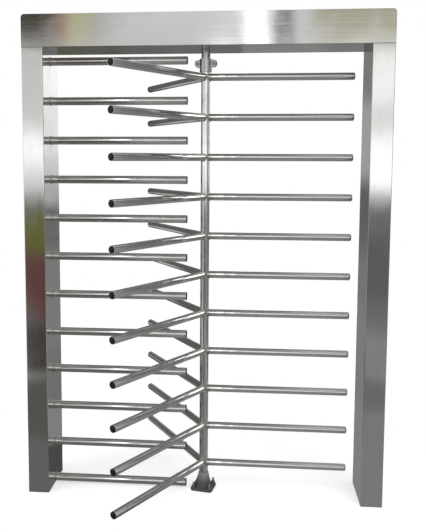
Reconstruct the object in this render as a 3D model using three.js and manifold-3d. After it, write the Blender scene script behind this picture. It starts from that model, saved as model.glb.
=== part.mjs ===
// Full height turnstile: a portal of two posts and a header box, a rotor with three
// wings of arms on one column, and a fixed comb of bars that closes the left half.
// Millimetres, +Z up. The origin is on the rotor's axis at the floor, +X points along
// the right wing and +Y points away from the front.

import * as THREE from 'three';
import { mergeVertices } from 'three/addons/utils/BufferGeometryUtils.js';
import Module from 'manifold-3d';

const wasm = await Module();
wasm.setup();

// Portal of folded stainless sheet
const clearWidth = 1490;
const postWidth = 100;
const portalDepth = 270;
const undersideHeight = 2130;
const headerHeight = 150;
const sheetWall = 2;
const postBendRadius = 4;
const headerEndRadius = 16;
const coverLipHeight = 22;

// Plates welded inside the posts, and the openings that they share with the header
const basePlateThickness = 8;
const headPlateThickness = 6;
const anchorHoleRadius = 7;
const anchorSpacingX = 56;
const anchorSpacingY = 200;
const cableHoleRadius = 20;
const windowWidth = 40;
const windowLength = 130;
const windowCorner = 8;
const headBoltRadius = 5.5;
const headBoltSpacingX = 60;
const headBoltSpacingY = 210;

// Rotor column and the arms of its wings
const levelCount = 11;
const wingCount = 3;
const lowestArmHeight = 132;
const topArmDrop = 128;
const columnRadius = 21;
const columnWall = 3;
const armReach = 690;
const armRadius = 17;
const armWall = 1.5;
const armPlugDepth = 22;
const armDomeHeight = 6;

// Comb of fixed bars on the left post
const combBarCount = 12;
const lowestBarHeight = 24;
const topBarDrop = 49;
const combBarRadius = 19;
const combBarWall = 1.5;
const combFreeEnd = 84;
const combInsertion = 40;
const combPlugDepth = 22;
const combDomeHeight = 4;

// Foot bearing on the floor
const footFlangeSize = 106;
const footFlangeThickness = 14;
const footFlangeCorner = 14;
const footBoltSpacing = 78;
const footBoltRadius = 6;
const footFlareRadius = 44;
const footHollowShare = 0.35;
const footTurn = -Math.PI / 15;
const footNeckRadius = 24;
const footHousingHeight = 84;
const footBoreFloor = 16;
const spigotRadius = 15;
const columnPlugDepth = 30;

// Split clamp that ties the column to the drive shaft, half its height on each
const clampHeight = 60;
const clampAboveTopArm = 24;
const clampOuterRadius = 29;
const clampSplit = 2;
const clampLugReach = 52;
const clampLugHeight = 34;
const clampLugRise = 9;
const clampLugCorner = 13;
const clampLugThickness = 10;
const clampBoltOffset = 40;
const clampBoltRadius = 4.5;
const clampTurn = -Math.PI / 12;

// Drive shaft and the bearing on the head plate
const shaftInsertion = 120;
const journalRadius = 15;
const shaftHoleClearance = 6;
const plateShaftClearance = 3;
const shaftNutRadius = 23;
const shaftNutHeight = 10;
const bearingFlangeSize = 104;
const bearingFlangeThickness = 12;
const bearingFlangeCorner = 14;
const bearingBoltSpacing = 76;
const bearingBoltRadius = 5.5;
const bearingBossRadius = 34;
const bearingNeckRadius = 29;
const bearingHousingHeight = 38;
const bearingHollowShare = 1;

// Mechanism plate in the header
const mechanismPlateThickness = 10;
const mechanismPlateDepth = 230;
const mechanismPlateLeft = 90;
const mechanismPlateRight = 215;
const mechanismPlateCorner = 10;
const plateBoltInset = 16;
const plateBoltRadius = 5.5;

// Lock wheel
const notchCount = 12;
const wheelRadius = 95;
const wheelThickness = 10;
const notchWidth = 18;
const notchDepth = 12;
const hubRadius = 27;
const hubHeight = 24;
const wheelHoleCount = 6;
const wheelHoleRadius = 12;
const wheelHoleCircle = 55;

// Lock bolts and the solenoids that drive them
const boltAngle = Math.PI / 6;
const boltRestGap = 3;
const boltTravel = 14;
const boltNoseLength = 20;
const boltNoseWidth = 14;
const boltNoseHeight = 12;
const boltBevel = 7;
const boltShankRadius = 8;
const solenoidGap = 22;
const solenoidRadius = 20;
const solenoidLength = 46;
const saddleWidth = 26;
const saddleInset = 6;
const bracketThickness = 5;
const bracketMargin = 8;

// Clearances: between pieces that stay together, between pieces that turn or slide,
// and the overrun of every cut
const seatGap = 0.3;
const runningGap = 0.4;
const overrun = 5;

// Sides of round pieces, and steps of rounded corners and domes
const tubeSides = 14;
const roundSides = 24;
const holeSides = 8;
const cornerSteps = 2;
const flareSteps = 3;
const domeSteps = 2;

// Places that several pieces share
const passageHalf = clearWidth / 2;
const portalHalf = passageHalf + postWidth;
const headerTop = undersideHeight + headerHeight;
const topArmHeight = undersideHeight - topArmDrop;
const levelPitch = (topArmHeight - lowestArmHeight) / (levelCount - 1);
const topBarHeight = undersideHeight - topBarDrop;
const barPitch = (topBarHeight - lowestBarHeight) / (combBarCount - 1);
const columnFoot = footHousingHeight + runningGap;
const clampFoot = topArmHeight + clampAboveTopArm;
const columnTop = clampFoot + clampHeight / 2;
const shaftRadius = columnRadius - columnWall - seatGap;
const plateFoot = undersideHeight + sheetWall + seatGap;
const plateTop = plateFoot + mechanismPlateThickness;
const bearingFoot = plateTop + seatGap;
const hubFoot = bearingFoot + bearingHousingHeight + runningGap;
const wheelHeight = hubFoot + hubHeight / 2;
const boltTip = wheelRadius + boltRestGap;
const solenoidFront = boltTip + solenoidGap;
const solenoidBack = solenoidFront + solenoidLength;

const stainless = { color: 0xc4c6c8, roughness: 0.22, metalness: 1 };
const polishedTube = { color: 0xd2d4d5, roughness: 0.14, metalness: 1 };
const darkCasting = { color: 0x2e2f31, roughness: 0.55, metalness: 0.6 };
const machinedSteel = { color: 0x9b9da0, roughness: 0.35, metalness: 1 };
const zincPlate = { color: 0xa9aca8, roughness: 0.45, metalness: 1 };
const solenoidBlack = { color: 0x1d1e20, roughness: 0.5, metalness: 0.3 };

// A closed geometry as a solid that can be cut and joined
function solidOf(geometry) {
  const shell = geometry.clone();
  shell.deleteAttribute('normal');
  shell.deleteAttribute('uv');
  const merged = mergeVertices(shell);
  const index = merged.index.array;
  const faces = [];
  for (let i = 0; i < index.length; i += 3) {
    const [a, b, c] = index.slice(i, i + 3);
    if (a !== b && b !== c && c !== a) faces.push(a, b, c);
  }
  const vertProperties = new Float32Array(merged.attributes.position.array);
  const triVerts = new Uint32Array(faces);
  return new wasm.Manifold(new wasm.Mesh({ numProp: 3, vertProperties, triVerts }));
}

function geometryOf(solid) {
  const { vertProperties, triVerts } = solid.getMesh();
  const geometry = new THREE.BufferGeometry();
  geometry.setAttribute('position', new THREE.BufferAttribute(vertProperties, 3));
  geometry.setIndex(new THREE.BufferAttribute(triVerts, 1));
  geometry.computeVertexNormals();
  return geometry;
}

function addAll(first, ...others) {
  return others.reduce((sum, other) => sum.add(other), first);
}

function cutAll(first, others) {
  return others.reduce((rest, other) => rest.subtract(other), first);
}

function block(lowX, highX, lowY, highY, lowZ, highZ) {
  const geometry = new THREE.BoxGeometry(highX - lowX, highY - lowY, highZ - lowZ);
  geometry.translate((lowX + highX) / 2, (lowY + highY) / 2, (lowZ + highZ) / 2);
  return solidOf(geometry);
}

// A round bar between two places on the named axis, through the given centre
function roundBar(axis, radius, low, high, sides, centre = [0, 0]) {
  const geometry = new THREE.CylinderGeometry(radius, radius, high - low, sides);
  const middle = (low + high) / 2;
  if (axis === 'x') {
    geometry.rotateZ(-Math.PI / 2);
    geometry.translate(middle, centre[0], centre[1]);
  } else if (axis === 'y') {
    geometry.translate(centre[0], middle, centre[1]);
  } else {
    geometry.rotateX(Math.PI / 2);
    geometry.translate(centre[0], centre[1], middle);
  }
  return solidOf(geometry);
}

// A profile of [radius, height] points turned about Z; it starts and ends on the axis
function turned(profile, sides) {
  const points = profile.map(([radius, height]) => new THREE.Vector2(radius, height));
  const geometry = new THREE.LatheGeometry(points, sides);
  geometry.rotateX(Math.PI / 2);
  return solidOf(geometry);
}

function roundedRectangle(width, length, radius) {
  const shape = new THREE.Shape();
  const x = width / 2 - radius;
  const y = length / 2 - radius;
  shape.absarc(x, y, radius, 0, Math.PI / 2, false);
  shape.absarc(-x, y, radius, Math.PI / 2, Math.PI, false);
  shape.absarc(-x, -y, radius, Math.PI, Math.PI * 1.5, false);
  shape.absarc(x, -y, radius, Math.PI * 1.5, Math.PI * 2, false);
  shape.closePath();
  return shape;
}

function extrudedUp(shape, low, high) {
  const settings = { depth: high - low, bevelEnabled: false, curveSegments: cornerSteps };
  const geometry = new THREE.ExtrudeGeometry(shape, settings);
  geometry.translate(0, 0, low);
  return solidOf(geometry);
}

// An outline in X and Z, extruded evenly to both sides of Y = 0
function extrudedAcross(shape, depth) {
  const settings = { depth, bevelEnabled: false, curveSegments: cornerSteps };
  const geometry = new THREE.ExtrudeGeometry(shape, settings);
  geometry.rotateX(Math.PI / 2);
  geometry.translate(0, depth / 2, 0);
  return solidOf(geometry);
}

// The four corners of a rectangle of the given spacings about a centre
function cornersOf(spacingX, spacingY, centreX = 0) {
  const signs = [[1, 1], [-1, 1], [-1, -1], [1, -1]];
  return signs.map(([sx, sy]) => [centreX + (sx * spacingX) / 2, (sy * spacingY) / 2]);
}

function verticalHoles(places, radius, low, high) {
  return places.map((place) =>
    roundBar('z', radius, low - overrun, high + overrun, holeSides, place));
}

// A tube along X with an open root and a plugged, domed tip
function pluggedTube(radius, wall, root, tip, plugDepth, domeHeight) {
  const profile = [];
  for (let step = 0; step <= domeSteps; step += 1) {
    const angle = (step / domeSteps) * (Math.PI / 2);
    profile.push([radius * Math.sin(angle), tip - domeHeight * (1 - Math.cos(angle))]);
  }
  profile.push([radius, root]);
  profile.push([radius - wall, root]);
  profile.push([radius - wall, tip - plugDepth]);
  profile.push([0, tip - plugDepth]);
  const points = profile.reverse().map(([r, along]) => new THREE.Vector2(r, along));
  const geometry = new THREE.LatheGeometry(points, tubeSides);
  geometry.rotateZ(-Math.PI / 2);
  return solidOf(geometry);
}

// The sheet tube of a post with its base plate and head plate welded in
function postSolid(barHeights) {
  const top = undersideHeight - seatGap;
  const outer = roundedRectangle(postWidth, portalDepth, postBendRadius);
  const innerRadius = postBendRadius - sheetWall;
  const innerWidth = postWidth - 2 * sheetWall;
  const innerDepth = portalDepth - 2 * sheetWall;
  outer.holes.push(roundedRectangle(innerWidth, innerDepth, innerRadius));
  const plate = roundedRectangle(innerWidth + sheetWall, innerDepth + sheetWall,
    innerRadius + sheetWall / 2);
  const basePlate = extrudedUp(plate, 0, basePlateThickness);
  const headPlate = extrudedUp(plate, top - headPlateThickness, top);
  const anchors = cornersOf(anchorSpacingX, anchorSpacingY);
  const headBolts = cornersOf(headBoltSpacingX, headBoltSpacingY);
  const window = roundedRectangle(windowWidth, windowLength, windowCorner);
  const cuts = [
    ...verticalHoles(anchors, anchorHoleRadius, 0, basePlateThickness),
    ...verticalHoles([[0, 0]], cableHoleRadius, 0, basePlateThickness),
    ...verticalHoles(headBolts, headBoltRadius, top - headPlateThickness, top),
    extrudedUp(window, top - headPlateThickness - overrun, top + overrun),
  ];
  // Each bar's hole runs as deep as the bar, so the lowest one also clears the base plate
  const face = postWidth / 2;
  for (const height of barHeights) {
    cuts.push(roundBar('x', combBarRadius + seatGap, face - combInsertion - overrun,
      face + overrun, tubeSides, [0, height]));
  }
  return cutAll(addAll(extrudedUp(outer, 0, top), basePlate, headPlate), cuts);
}

// The header's folded channel: bottom, front and back in one sheet, open above
function headerChannelSolid() {
  const outline = new THREE.Shape();
  const corner = portalHalf - headerEndRadius;
  const bend = headerTop - headerEndRadius;
  outline.moveTo(-portalHalf, undersideHeight);
  outline.lineTo(portalHalf, undersideHeight);
  outline.absarc(corner, bend, headerEndRadius, 0, Math.PI / 2, false);
  outline.absarc(-corner, bend, headerEndRadius, Math.PI / 2, Math.PI, false);
  outline.closePath();
  const inside = portalDepth / 2 - sheetWall;
  const floor = undersideHeight + sheetWall;
  const postCentre = passageHalf + postWidth / 2;
  const cuts = [
    block(-portalHalf - overrun, portalHalf + overrun, -inside, inside,
      floor, headerTop + overrun),
    ...verticalHoles([[0, 0]], shaftRadius + shaftHoleClearance, undersideHeight, floor),
    ...verticalHoles(plateBoltPlaces(), plateBoltRadius, undersideHeight, floor),
  ];
  for (const centreX of [-postCentre, postCentre]) {
    const bolts = cornersOf(headBoltSpacingX, headBoltSpacingY, centreX);
    cuts.push(...verticalHoles(bolts, headBoltRadius, undersideHeight, floor));
    const window = roundedRectangle(windowWidth, windowLength, windowCorner);
    const opening = extrudedUp(window, undersideHeight - overrun, floor + overrun);
    cuts.push(opening.translate([centreX, 0, 0]));
  }
  return cutAll(extrudedAcross(outline, portalDepth), cuts);
}

// The header's cover: one sheet over the top, bent down at both ends and, as short lips
// that take its screws, inside the channel's front and back
function headerCoverSolid() {
  const strip = new THREE.Shape();
  const foot = undersideHeight + sheetWall + seatGap;
  const corner = portalHalf - headerEndRadius;
  const bend = headerTop - headerEndRadius;
  const innerRadius = headerEndRadius - sheetWall;
  strip.moveTo(-portalHalf, foot);
  strip.absarc(-corner, bend, headerEndRadius, Math.PI, Math.PI / 2, true);
  strip.absarc(corner, bend, headerEndRadius, Math.PI / 2, 0, true);
  strip.lineTo(portalHalf, foot);
  strip.lineTo(portalHalf - sheetWall, foot);
  strip.absarc(corner, bend, innerRadius, 0, Math.PI / 2, false);
  strip.absarc(-corner, bend, innerRadius, Math.PI / 2, Math.PI, false);
  strip.lineTo(-portalHalf + sheetWall, foot);
  strip.closePath();
  const depth = portalDepth - 2 * (sheetWall + seatGap);
  const lipEnd = corner - headerEndRadius;
  const lips = block(-lipEnd, lipEnd, -depth / 2, depth / 2,
    headerTop - coverLipHeight, headerTop - sheetWall / 2);
  const between = block(-portalHalf, portalHalf, sheetWall - depth / 2, depth / 2 - sheetWall,
    headerTop - coverLipHeight - overrun, headerTop);
  return addAll(extrudedAcross(strip, depth), lips.subtract(between));
}

function plateBoltPlaces() {
  const spacingX = mechanismPlateLeft + mechanismPlateRight - 2 * plateBoltInset;
  const spacingY = mechanismPlateDepth - 2 * plateBoltInset;
  return cornersOf(spacingX, spacingY, (mechanismPlateRight - mechanismPlateLeft) / 2);
}

function mechanismPlateSolid() {
  const width = mechanismPlateLeft + mechanismPlateRight;
  const outline = roundedRectangle(width, mechanismPlateDepth, mechanismPlateCorner);
  const plate = extrudedUp(outline, plateFoot, plateTop)
    .translate([(mechanismPlateRight - mechanismPlateLeft) / 2, 0, 0]);
  const bearingBolts = cornersOf(bearingBoltSpacing, bearingBoltSpacing);
  return cutAll(plate, [
    ...verticalHoles([[0, 0]], shaftRadius + plateShaftClearance, plateFoot, plateTop),
    ...verticalHoles(plateBoltPlaces(), plateBoltRadius, plateFoot, plateTop),
    ...verticalHoles(bearingBolts, bearingBoltRadius, plateFoot, plateTop),
  ]);
}

// A square flange with four bolt holes and a round boss that narrows to its neck,
// along a cone where hollowShare is 0 and a quarter ellipse where it is 1
function flangedHousing({ foot, size, thickness, corner, spacing, holeRadius,
  bossRadius, neckRadius, hollowShare, height, bore, boreFloor }) {
  const flangeTop = foot + thickness;
  const top = foot + height;
  const flange = extrudedUp(roundedRectangle(size, size, corner), foot, flangeTop);
  const profile = [[0, foot], [bossRadius, foot], [bossRadius, flangeTop]];
  for (let step = 1; step <= flareSteps; step += 1) {
    const share = step / flareSteps;
    const angle = share * (Math.PI / 2);
    const inward = share + (Math.sin(angle) - share) * hollowShare;
    const upward = share + (1 - Math.cos(angle) - share) * hollowShare;
    profile.push([bossRadius - (bossRadius - neckRadius) * inward,
      flangeTop + (top - flangeTop) * upward]);
  }
  profile.push([0, top]);
  const boss = turned(profile, roundSides);
  return cutAll(addAll(flange, boss), [
    ...verticalHoles(cornersOf(spacing, spacing), holeRadius, foot, flangeTop),
    roundBar('z', bore, boreFloor, top + overrun, roundSides),
  ]);
}

function headBearingSolid() {
  return flangedHousing({
    foot: bearingFoot,
    size: bearingFlangeSize,
    thickness: bearingFlangeThickness,
    corner: bearingFlangeCorner,
    spacing: bearingBoltSpacing,
    holeRadius: bearingBoltRadius,
    bossRadius: bearingBossRadius,
    neckRadius: bearingNeckRadius,
    hollowShare: bearingHollowShare,
    height: bearingHousingHeight,
    bore: journalRadius + runningGap,
    boreFloor: bearingFoot - overrun,
  });
}

function footBearingSolid() {
  return flangedHousing({
    foot: 0,
    size: footFlangeSize,
    thickness: footFlangeThickness,
    corner: footFlangeCorner,
    spacing: footBoltSpacing,
    holeRadius: footBoltRadius,
    bossRadius: footFlareRadius,
    neckRadius: footNeckRadius,
    hollowShare: footHollowShare,
    height: footHousingHeight,
    bore: spigotRadius + runningGap,
    boreFloor: footBoreFloor,
  }).rotate([0, 0, THREE.MathUtils.radToDeg(footTurn)]);
}

// The column tube with the spigot that stands in the foot bearing
function columnSolid() {
  const innerRadius = columnRadius - columnWall;
  const spigotFoot = footBoreFloor + runningGap;
  return turned([
    [0, spigotFoot],
    [spigotRadius, spigotFoot],
    [spigotRadius, columnFoot],
    [columnRadius, columnFoot],
    [columnRadius, columnTop],
    [innerRadius, columnTop],
    [innerRadius, columnFoot + columnPlugDepth],
    [0, columnFoot + columnPlugDepth],
  ], roundSides);
}

function armSolid() {
  const tube = pluggedTube(armRadius, armWall, 0, armReach, armPlugDepth, armDomeHeight);
  const half = armRadius + overrun;
  return tube.subtract(roundBar('z', columnRadius + seatGap, -half, half, roundSides));
}

// One half of the split clamp: half a ring with a bolted, rounded lug at each end, above
// the ring's middle
function clampHalfSolid(side) {
  const clampTop = clampFoot + clampHeight;
  const lugMiddle = (clampFoot + clampTop) / 2 + clampLugRise;
  const face = (side * clampSplit) / 2;
  const ring = roundBar('z', clampOuterRadius, clampFoot, clampTop, roundSides);
  const lugOutline = roundedRectangle(2 * clampLugReach, clampLugHeight, clampLugCorner);
  const lugs = extrudedAcross(lugOutline, clampSplit + 2 * clampLugThickness)
    .translate([0, 0, lugMiddle]);
  const reach = clampLugReach + clampOuterRadius;
  const otherHalf = side > 0
    ? block(-reach, reach, -reach, face, clampFoot - overrun, clampTop + overrun)
    : block(-reach, reach, face, reach, clampFoot - overrun, clampTop + overrun);
  const bolts = [-clampBoltOffset, clampBoltOffset].map((x) =>
    roundBar('y', clampBoltRadius, -reach, reach, holeSides, [x, lugMiddle]));
  return cutAll(addAll(ring, lugs), [
    roundBar('z', columnRadius + seatGap, clampFoot - overrun, clampTop + overrun,
      roundSides),
    otherHalf,
    ...bolts,
  ]).rotate([0, 0, THREE.MathUtils.radToDeg(clampTurn)]);
}

// The drive shaft: a spigot in the column, a length as thick as the column for the
// clamp, the part that passes the plate, and the journal with its nut
function driveShaftSolid() {
  const nutFoot = hubFoot + hubHeight + seatGap;
  return turned([
    [0, columnTop - shaftInsertion],
    [shaftRadius, columnTop - shaftInsertion],
    [shaftRadius, columnTop + seatGap],
    [columnRadius, columnTop + seatGap],
    [columnRadius, undersideHeight],
    [shaftRadius, undersideHeight],
    [shaftRadius, plateTop],
    [journalRadius, plateTop],
    [journalRadius, nutFoot],
    [shaftNutRadius, nutFoot],
    [shaftNutRadius, nutFoot + shaftNutHeight],
    [0, nutFoot + shaftNutHeight],
  ], roundSides);
}

// The lock wheel: square notches round the rim, holes in the web and a hub
function lockWheelSolid() {
  const rim = new THREE.Shape();
  const half = notchWidth / 2;
  const floor = wheelRadius - notchDepth;
  const mouth = Math.asin(half / wheelRadius);
  const pitch = (2 * Math.PI) / notchCount;
  for (let notch = 0; notch < notchCount; notch += 1) {
    const angle = notch * pitch;
    const [c, s] = [Math.cos(angle), Math.sin(angle)];
    rim.lineTo(floor * c + half * s, floor * s - half * c);
    rim.lineTo(floor * c - half * s, floor * s + half * c);
    rim.absarc(0, 0, wheelRadius, angle + mouth, angle + pitch - mouth, false);
  }
  rim.closePath();
  const disc = extrudedUp(rim, wheelHeight - wheelThickness / 2,
    wheelHeight + wheelThickness / 2);
  const hubTop = hubFoot + hubHeight;
  const hub = roundBar('z', hubRadius, hubFoot, hubTop, roundSides);
  const cuts = [
    roundBar('z', journalRadius + seatGap, hubFoot - overrun, hubTop + overrun, roundSides),
  ];
  for (let hole = 0; hole < wheelHoleCount; hole += 1) {
    const angle = ((hole + 0.5) / wheelHoleCount) * 2 * Math.PI;
    const place = [wheelHoleCircle * Math.cos(angle), wheelHoleCircle * Math.sin(angle)];
    cuts.push(roundBar('z', wheelHoleRadius, hubFoot, hubTop, holeSides, place));
  }
  return cutAll(addAll(disc, hub), cuts);
}

// A lock bolt along X, outwards from the wheel, with one flank of its nose bevelled
function lockBoltSolid(bevelSide) {
  const nose = new THREE.Shape();
  const half = (boltNoseWidth / 2) * bevelSide;
  const bevel = boltBevel * bevelSide;
  const noseBack = boltTip + boltNoseLength;
  nose.moveTo(boltTip, -half);
  nose.lineTo(boltTip, half - bevel);
  nose.lineTo(boltTip + boltBevel, half);
  nose.lineTo(noseBack, half);
  nose.lineTo(noseBack, -half);
  nose.closePath();
  const head = extrudedUp(nose, wheelHeight - boltNoseHeight / 2,
    wheelHeight + boltNoseHeight / 2);
  const shank = roundBar('x', boltShankRadius, noseBack - boltShankRadius,
    solenoidBack + boltTravel, tubeSides, [0, wheelHeight]);
  return head.add(shank);
}

// Both solenoids on their shared bracket
function solenoidPairSolid() {
  const bracketFoot = plateTop + seatGap;
  const bracketTop = bracketFoot + bracketThickness;
  const bodies = [];
  const bores = [];
  for (const angle of [boltAngle, -boltAngle]) {
    const turn = [0, 0, THREE.MathUtils.radToDeg(angle)];
    const body = roundBar('x', solenoidRadius, solenoidFront, solenoidBack, roundSides,
      [0, wheelHeight]);
    const saddle = block(solenoidFront + saddleInset, solenoidBack - saddleInset,
      -saddleWidth / 2, saddleWidth / 2, bracketFoot, wheelHeight);
    const bore = roundBar('x', boltShankRadius + runningGap, solenoidFront - overrun,
      solenoidBack + overrun, tubeSides, [0, wheelHeight]);
    bodies.push(body.add(saddle).rotate(turn));
    bores.push(bore.rotate(turn));
  }
  const nearX = solenoidFront * Math.cos(boltAngle);
  const farX = solenoidBack * Math.cos(boltAngle);
  const sideY = solenoidBack * Math.sin(boltAngle) + bracketMargin;
  const bracket = block(nearX, farX, -sideY, sideY, bracketFoot, bracketTop);
  return cutAll(addAll(bracket, ...bodies), bores);
}

function meshOf(name, geometry, look) {
  const mesh = new THREE.Mesh(geometry, new THREE.MeshStandardMaterial(look));
  mesh.name = name;
  return mesh;
}

function numbered(name, index) {
  return `${name}_${String(index + 1).padStart(2, '0')}`;
}

function buildPortal() {
  const portal = new THREE.Group();
  const barHeights = [];
  for (let bar = 0; bar < combBarCount; bar += 1) {
    barHeights.push(lowestBarHeight + bar * barPitch);
  }
  const leftPost = meshOf('left_post', geometryOf(postSolid(barHeights)), stainless);
  leftPost.position.x = -passageHalf - postWidth / 2;
  const rightPost = meshOf('right_post', geometryOf(postSolid([])), stainless);
  rightPost.position.x = passageHalf + postWidth / 2;
  portal.add(leftPost, rightPost);
  portal.add(meshOf('header_channel', geometryOf(headerChannelSolid()), stainless));
  portal.add(meshOf('header_cover', geometryOf(headerCoverSolid()), stainless));
  portal.add(meshOf('foot_bearing_housing', geometryOf(footBearingSolid()), darkCasting));

  const barRoot = -passageHalf - combInsertion;
  const bar = geometryOf(pluggedTube(combBarRadius, combBarWall, barRoot, -combFreeEnd,
    combPlugDepth, combDomeHeight));
  barHeights.forEach((height, index) => {
    const mesh = meshOf(numbered('comb_bar', index), bar, polishedTube);
    mesh.position.z = height;
    portal.add(mesh);
  });
  return portal;
}

function buildHeadMechanism() {
  const mechanism = new THREE.Group();
  mechanism.add(meshOf('mechanism_plate', geometryOf(mechanismPlateSolid()), zincPlate));
  mechanism.add(meshOf('head_bearing_housing', geometryOf(headBearingSolid()), darkCasting));
  mechanism.add(meshOf('solenoid_pair', geometryOf(solenoidPairSolid()), solenoidBlack));
  const bolts = [['lock_bolt_a', boltAngle, 1], ['lock_bolt_b', -boltAngle, -1]];
  for (const [name, angle, bevelSide] of bolts) {
    const bolt = meshOf(name, geometryOf(lockBoltSolid(bevelSide)), machinedSteel);
    bolt.rotation.z = angle;
    mechanism.add(bolt);
  }
  return mechanism;
}

function buildRotor() {
  const rotor = new THREE.Group();
  rotor.add(meshOf('rotor_column', geometryOf(columnSolid()), polishedTube));
  rotor.add(meshOf('clamp_front_half', geometryOf(clampHalfSolid(-1)), machinedSteel));
  rotor.add(meshOf('clamp_back_half', geometryOf(clampHalfSolid(1)), machinedSteel));
  rotor.add(meshOf('drive_shaft', geometryOf(driveShaftSolid()), machinedSteel));
  rotor.add(meshOf('lock_wheel', geometryOf(lockWheelSolid()), zincPlate));

  const arm = geometryOf(armSolid());
  const wingNames = ['right', 'back', 'front'];
  for (let wing = 0; wing < wingCount; wing += 1) {
    const arms = new THREE.Group();
    arms.rotation.z = (wing / wingCount) * 2 * Math.PI;
    for (let level = 0; level < levelCount; level += 1) {
      const mesh = meshOf(numbered(`arm_${wingNames[wing]}`, level), arm, polishedTube);
      mesh.position.z = lowestArmHeight + level * levelPitch;
      arms.add(mesh);
    }
    rotor.add(arms);
  }
  return rotor;
}

const turnstile = new THREE.Group();
turnstile.add(buildPortal(), buildHeadMechanism(), buildRotor());

export default turnstile;
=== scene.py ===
import math

import bmesh
import bpy
from mathutils import Matrix, Vector
from mathutils.geometry import tessellate_polygon


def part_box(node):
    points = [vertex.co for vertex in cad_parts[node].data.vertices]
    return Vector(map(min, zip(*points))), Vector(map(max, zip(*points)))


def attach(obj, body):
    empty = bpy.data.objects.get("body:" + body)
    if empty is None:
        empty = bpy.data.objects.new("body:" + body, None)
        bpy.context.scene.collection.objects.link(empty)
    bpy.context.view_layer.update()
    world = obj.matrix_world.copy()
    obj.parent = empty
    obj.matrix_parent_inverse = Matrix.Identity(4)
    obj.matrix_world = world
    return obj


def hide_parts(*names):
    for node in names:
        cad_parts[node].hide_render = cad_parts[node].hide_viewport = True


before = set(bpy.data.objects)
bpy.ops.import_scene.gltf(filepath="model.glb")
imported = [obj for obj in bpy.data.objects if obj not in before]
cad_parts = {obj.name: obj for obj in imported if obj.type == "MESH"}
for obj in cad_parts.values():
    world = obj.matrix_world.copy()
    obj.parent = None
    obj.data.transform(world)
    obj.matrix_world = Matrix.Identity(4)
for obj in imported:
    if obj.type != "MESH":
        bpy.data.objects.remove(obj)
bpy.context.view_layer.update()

mm = 0.001
print("turnstile: frame loaded,", len(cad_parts), "solids")

scene = bpy.context.scene
scene.view_settings.view_transform = "Standard"


# shader nodes in short form: an input takes a value or another node's socket
def plug(tree, made, inputs):
    for key, value in inputs.items():
        if isinstance(value, bpy.types.NodeSocket):
            tree.links.new(value, made.inputs[key])
        else:
            made.inputs[key].default_value = value


def addNode(tree, kind, inputs=None, **settings):
    made = tree.nodes.new(kind)
    for key, value in settings.items():
        setattr(made, key, value)
    plug(tree, made, inputs or {})
    return made


def calc(tree, operation, first, second=0.0, clamp=False):
    made = addNode(tree, "ShaderNodeMath", {0: first, 1: second},
                   operation=operation, use_clamp=clamp)
    return made.outputs[0]


def plus(tree, first, second, clamp=False):
    return calc(tree, "ADD", first, second, clamp)


def times(tree, first, second):
    return calc(tree, "MULTIPLY", first, second)


def span(tree, value, fromLow, fromHigh, toLow=0.0, toHigh=1.0, smooth=False):
    made = addNode(tree, "ShaderNodeMapRange",
                   {0: value, 1: fromLow, 2: fromHigh, 3: toLow, 4: toHigh},
                   interpolation_type="SMOOTHSTEP" if smooth else "LINEAR")
    return made.outputs[0]


def tint(tree, amount, first, second):
    made = addNode(tree, "ShaderNodeMix", {0: amount, 6: first, 7: second}, data_type="RGBA")
    return made.outputs[2]


# another tone over a colour, as dense as the mask times its share
def film(tree, colour, mask, share, tone):
    return tint(tree, times(tree, mask, share), colour, tone)


def grey(level, warmth=0.0):
    return (level * (1 + warmth), level, level * (1 - warmth), 1.0)


def place(tree, scale=(1, 1, 1), shift=(0, 0, 0)):
    spot = addNode(tree, "ShaderNodeTexCoord").outputs["Object"]
    return addNode(tree, "ShaderNodeMapping",
                   {"Vector": spot, "Scale": scale, "Location": shift}).outputs[0]


def coordinate(tree, axis):
    return addNode(tree, "ShaderNodeSeparateXYZ", {0: place(tree)}).outputs[axis]


def mottle(tree, scale, detail=3.0, rough=0.6, vector=None):
    return addNode(tree, "ShaderNodeTexNoise",
                   {"Vector": place(tree) if vector is None else vector, "Scale": scale,
                    "Detail": detail, "Roughness": rough}).outputs["Fac"]


# soft-edged patches where the mottle lies above a range
def patches(tree, scale, low, high, detail=4.0, rough=0.6, vector=None):
    return span(tree, mottle(tree, scale, detail, rough, vector), low, high, smooth=True)


def relief(tree, height, depth, strength=1.0, under=None):
    inputs = {"Height": height, "Distance": depth, "Strength": strength}
    if under is not None:
        inputs["Normal"] = under
    return addNode(tree, "ShaderNodeBump", inputs).outputs[0]


def newFinish(name):
    finish = bpy.data.materials.new(name)
    finish.use_nodes = True
    return finish, finish.node_tree, finish.node_tree.nodes["Principled BSDF"]


# 1 for what the camera sees, also mirrored or through something clear
def seenByCamera(tree):
    sight = addNode(tree, "ShaderNodeLightPath").outputs
    seen = plus(tree, sight["Is Camera Ray"], sight["Is Glossy Ray"])
    return plus(tree, seen, sight["Is Transmission Ray"], True)


# hairline sheet: fine lines along the grain, a slow waviness, smears and scuffs
# (a scale of two numbers is that across the grain and that along it)
sheetFinish = {
    "bright": 0.80, "dull": 0.66, "roughness": 0.08, "stretch": 0.75,
    "lineScale": (900.0, 3.0), "lineDepth": 0.00002, "waveScale": 3.2, "waveDepth": 0.0006,
    "smearScale": 5.0, "smearShare": 0.30, "smearGrey": 0.62, "smearRoughness": 0.045,
    "scuffScale": (60.0, 7.0), "scuffShare": 0.22, "scuffGrey": 0.46, "scuffRoughness": 0.05,
}


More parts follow.
